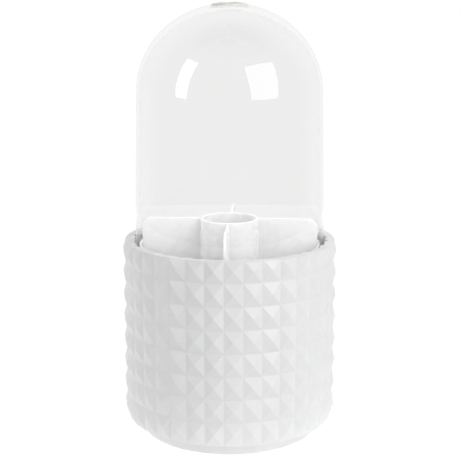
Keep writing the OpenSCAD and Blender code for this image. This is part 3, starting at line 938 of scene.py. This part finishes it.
# ---------------------------------------------------------------- turntable base
def turntable_bowl():
    """The base: a shallow bowl with a hub, a ball race, a pocket for the washer and four for feet."""
    soft = 0.3 * MM
    groove_low = math.asin((BALL_Z - BASE_FLOOR_Z) / RACE_GROOVE)
    groove = arc((RACE_R, BALL_Z), RACE_GROOVE, -math.pi + groove_low, -groove_low, 12)
    outline = [
        (PIVOT_R, WASHER_POCKET_Z, soft / 2), (WASHER_POCKET_R, WASHER_POCKET_Z, soft / 2),
        (WASHER_POCKET_R, BASE_Z, soft), (BASE_R, BASE_Z, BASE_EDGE), (BASE_R, BASE_TOP_Z, soft),
        (BASE_R - BASE_WALL, BASE_TOP_Z, soft), (BASE_R - BASE_WALL, BASE_FLOOR_Z, 1 * MM),
        *reversed(groove), (HUB_R, BASE_FLOOR_Z, soft), (HUB_R, HUB_TOP_Z, soft),
        (PIVOT_R, HUB_TOP_Z, soft / 2)]
    bowl = lathed("bowl", softened(outline, steps=6), closed=True)
    below = BASE_Z - 1 * MM
    pocket = lathed("pocket", [(0, below), (FOOT_POCKET_R, below), (FOOT_POCKET_R, FOOT_TOP_Z),
                               (0, FOOT_TOP_Z)], closed=False, steps=48)
    for v in pocket.vertices:
        v.co.x += FOOT_CIRCLE_R
    pockets = copied_around(pocket, FEET, math.pi / FEET, BASE_WHITE)
    piece("turntable_bowl", combined(bowl, pockets, "DIFFERENCE"), BASE_WHITE, "base", "base_white",
          "turntable_base")


# ---------------------------------------------------------------- lid and badge
def crown(radius, height, last_turn):
    """Points of the round crown, from its equator up, as (r, z)."""
    power = 2 / CROWN_POWER
    turns = [last_turn * i / CROWN_STEPS for i in range(CROWN_STEPS + 1)]
    return [(radius * math.cos(t) ** power, CROWN_Z + height * math.sin(t) ** power) for t in turns]


def clear_dome():
    """The lid: an outer skin that mirrors lamps and an inner one that doesn't."""
    seat_r = BADGE_R + BADGE_GAP
    land_r = seat_r + BADGE_LAND
    land_turn = math.acos((land_r / CROWN_R) ** (CROWN_POWER / 2))
    inner_top = BADGE_Z - BADGE_SEAT_T
    soft, foot_soft = 0.15 * MM, 0.8 * MM
    side_steps = 12
    outer_side = [(LID_R - LID_DRAFT * k / side_steps, LID_Z + LID_SIDE * k / side_steps)
                  for k in range(1, side_steps)]
    inner_side = [(r - LID_WALL, z) for r, z in reversed(outer_side)]
    inner_crown = crown(CROWN_R - LID_WALL, inner_top - CROWN_Z, INNER_CROWN_TURN)
    outline = softened([
        (0, inner_top), *reversed(inner_crown), *inner_side, (LID_R - LID_WALL, LID_Z, foot_soft),
        (LID_R, LID_Z, foot_soft), *outer_side, *crown(CROWN_R, CROWN_H, land_turn)[:-1],
        (land_r, LAND_Z, soft), (seat_r, LAND_Z, soft), (seat_r, BADGE_Z), (0, BADGE_Z)], closed=False)
    shell = lathed("dome", outline, closed=False, steps=256)
    shell.materials.append(LID_CLEAR)
    shell.materials.append(LID_INSIDE)
    for face in shell.polygons:
        under_crown = face.normal.z < 0 and face.center.z > CROWN_Z
        face.material_index = int(under_crown or face.normal.xy.dot(face.center.xy) < 0)
    piece("clear_dome", shell, None, "lid", "lid_clear", "dome_lid", weighted=False)


def face_height(r, top_z):
    """The height of the badge's domed face at a distance from the axis."""
    dome_r = (BADGE_R ** 2 + BADGE_RISE ** 2) / (2 * BADGE_RISE)
    return top_z - dome_r + math.sqrt(dome_r ** 2 - r ** 2)


def raised_bar(low_r, high_r, steps=6):
    """One ray: a bar along +X that stands on the badge's face with a soft top."""
    bm = bmesh.new()
    side = RAY_W / 2
    sections = []
    for k in range(steps + 1):
        r = low_r + (high_r - low_r) * k / steps
        top, bottom = face_height(r, BADGE_SUMMIT), face_height(r, BADGE_SUMMIT - RELIEF) - RELIEF
        shape = ((-side, bottom), (-side, top - RAY_SOFT), (-side + RAY_SOFT, top),
                 (side - RAY_SOFT, top), (side, top - RAY_SOFT), (side, bottom))
        sections.append([bm.verts.new((r, y, z)) for y, z in shape])
    for one, two in zip(sections, sections[1:]):
        join_rings(bm, one, two)
    bm.faces.new(sections[0])
    bm.faces.new(sections[-1])
    bmesh.ops.recalc_face_normals(bm, faces=bm.faces)
    return finished_mesh("ray", bm)


def round_badge():
    """The badge: a domed disc with a raised ring and rays of another colour inside it."""
    face = BADGE_SUMMIT - RELIEF
    steps = 10
    ring_r = BADGE_R - BADGE_EDGE_W
    ring_in = ring_r - BADGE_RING_W
    domed = [(r, face_height(r, face)) for r in (ring_in * k / steps for k in range(1, steps))]
    foot = BADGE_Z + BADGE_CLEARANCE
    foot_soft, edge_soft, ring_soft = 0.2 * MM, 0.35 * MM, 0.15 * MM
    outline = [(0, foot), (BADGE_R, foot, foot_soft), (BADGE_R, face_height(BADGE_R, face), edge_soft),
               (ring_r, face_height(ring_r, face)),
               (ring_r, face_height(ring_r, BADGE_SUMMIT), ring_soft),
               (ring_in, face_height(ring_in, BADGE_SUMMIT), ring_soft),
               (ring_in, face_height(ring_in, face)), *reversed(domed), (0, face)]
    disc = lathed("badge_disc", softened(outline, closed=False), closed=False, steps=128)
    disc.materials.append(BADGE_IVORY)
    high_r = ring_in - RAY_GAP
    rays = copied_around(raised_bar(high_r - RAY_L, high_r), RAYS, 0, BADGE_GREY)
    piece("round_badge", combined(disc, rays, "UNION"), None, "lid", "badge_ivory", "lid_badge")


# ---------------------------------------------------------------- the object
studded_bucket()
lift_out_cup()
ring_divider()
turntable_bowl()
clear_dome()
round_badge()

FINISHES = {
    "rubber_foot_1": FOOT_RUBBER, "rubber_foot_2": FOOT_RUBBER, "rubber_foot_3": FOOT_RUBBER,
    "rubber_foot_4": FOOT_RUBBER, "ball_cage": CAGE_PLASTIC, "bearing_balls": BEARING_STEEL,
    "turntable_plate": BASE_WHITE, "pivot_bolt": ZINC_STEEL, "pivot_washer": ZINC_STEEL,
    "pivot_nut": ZINC_STEEL, "floor_screws": ZINC_STEEL,
}
for cad_node, finish in FINISHES.items():
    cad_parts[cad_node].data.materials.clear()
    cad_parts[cad_node].data.materials.append(finish)


# ---------------------------------------------------------------- studio
WHITE = (1, 1, 1, 1)
FLOOR_PAINT = (0.85, 0.85, 0.85, 1)
SEEN_WHITE = 1.1      # a little over white, so that the floor has no visible edge
DARK_WALL_Y, WHITE_WALL_Y = -0.1, 0.5
POOL_CORE = 0.7       # share of the glowing pool that is evenly bright
LAMP_TARGET = Vector((0, 0, 0.12))


def white_world(light, front, back):
    """A world that is white to look at. It lights the object at a plain level, and in gloss it is
    dim in front, where the dark side of the room is, and white behind."""
    world = bpy.data.worlds.new("studio")
    world.use_nodes = True
    tree = world.node_tree
    tree.nodes.clear()
    path = tree.nodes.new("ShaderNodeLightPath").outputs
    way = node(tree, "ShaderNodeSeparateXYZ",
               Vector=tree.nodes.new("ShaderNodeTexCoord").outputs["Generated"])
    mirrored = spread(tree, way.outputs["Y"], front, back, (DARK_WALL_Y, WHITE_WALL_Y))
    in_gloss = calc(tree, "MULTIPLY", mirrored, path["Is Glossy Ray"])
    elsewhere = calc(tree, "MULTIPLY", light, calc(tree, "SUBTRACT", 1, path["Is Glossy Ray"]))
    dim = node(tree, "ShaderNodeBackground", Color=WHITE,
               Strength=calc(tree, "ADD", in_gloss, elsewhere))
    white = node(tree, "ShaderNodeBackground", Color=WHITE, Strength=1.0)
    seen = calc(tree, "MAXIMUM", path["Is Camera Ray"], path["Is Transmission Ray"])
    output = tree.nodes.new("ShaderNodeOutputWorld")
    tree.links.new(mixed(tree, seen, dim, white).outputs[0], output.inputs["Surface"])
    bpy.context.scene.world = world


def white_floor(size, shadow_share, glow, glow_reach):
    """A pale table that is white to look at, apart from a share of its own light and shadow.
    Under and around the object it glows, like a table that is lit from below."""
    bm = bmesh.new()
    bmesh.ops.create_circle(bm, cap_ends=True, segments=96, radius=size / 2)
    floor = bpy.data.objects.new("floor", finished_mesh("floor", bm))
    bpy.context.scene.collection.objects.link(floor)
    material = bpy.data.materials.new("floor_white")
    material.use_nodes = True
    tree = material.node_tree
    tree.nodes.clear()
    path = tree.nodes.new("ShaderNodeLightPath").outputs
    seen = calc(tree, "MAXIMUM", path["Is Camera Ray"],
                calc(tree, "MAXIMUM", path["Is Glossy Ray"], path["Is Transmission Ray"]))
    matt = node(tree, "ShaderNodeBsdfDiffuse", Color=FLOOR_PAINT)
    away = node(tree, "ShaderNodeVectorMath", {"operation": "LENGTH"})
    tree.links.new(tree.nodes.new("ShaderNodeTexCoord").outputs["Object"], away.inputs[0])
    pool = spread(tree, away.outputs["Value"], glow, 0, (POOL_CORE * glow_reach, glow_reach))
    lit = tree.nodes.new("ShaderNodeAddShader")
    tree.links.new(matt.outputs[0], lit.inputs[0])
    tree.links.new(node(tree, "ShaderNodeEmission", Strength=pool).outputs[0], lit.inputs[1])
    bright = node(tree, "ShaderNodeEmission", Strength=SEEN_WHITE)
    shown = mixed(tree, 1 - shadow_share, matt, bright)
    output = tree.nodes.new("ShaderNodeOutputMaterial")
    tree.links.new(mixed(tree, seen, lit, shown).outputs[0], output.inputs["Surface"])
    floor.data.materials.append(material)


def softbox(name, azimuth, elevation, distance, width, height, radiance, lean=0, mirrored=True):
    """A rectangular lamp that faces the object. Azimuth 0 is +X and -90 is the front, lean turns it
    about its own axis, and one that isn't mirrored shows in no gloss."""
    data = bpy.data.lights.new(name, "AREA")
    data.shape = "RECTANGLE"
    data.size, data.size_y = width, height
    data.energy = radiance * math.pi * width * height
    lamp = bpy.data.objects.new(name, data)
    a, e = math.radians(azimuth), math.radians(elevation)
    way = Vector((math.cos(a) * math.cos(e), math.sin(a) * math.cos(e), math.sin(e)))
    lamp.location = LAMP_TARGET + way * distance
    facing = way.to_track_quat("Z", "Y") @ Quaternion((0, 0, 1), math.radians(lean))
    lamp.rotation_euler = facing.to_euler()
    lamp.visible_camera = False
    lamp.visible_transmission = False
    lamp.visible_glossy = mirrored
    bpy.context.scene.collection.objects.link(lamp)


bpy.context.scene.view_settings.view_transform = "Standard"
white_world(0.05, 0.0, 0.88)
white_floor(1.6, 0.12, 0.4, 0.11)
softbox("right_softbox", -48, 21.7, 1.2, 0.76, 0.89, 3.45)
softbox("left_strip", -148, 22.6, 1.2, 0.34, 0.92, 4.7, lean=-4)
softbox("high_softbox", -28, 50, 1.4, 0.8, 0.6, 4.3, mirrored=False)
softbox("back_softbox", 162, 16, 1.3, 0.5, 0.7, 3.7, mirrored=False)
softbox("rear_fill", 75, 28, 1.3, 0.8, 0.8, 2.4, mirrored=False)
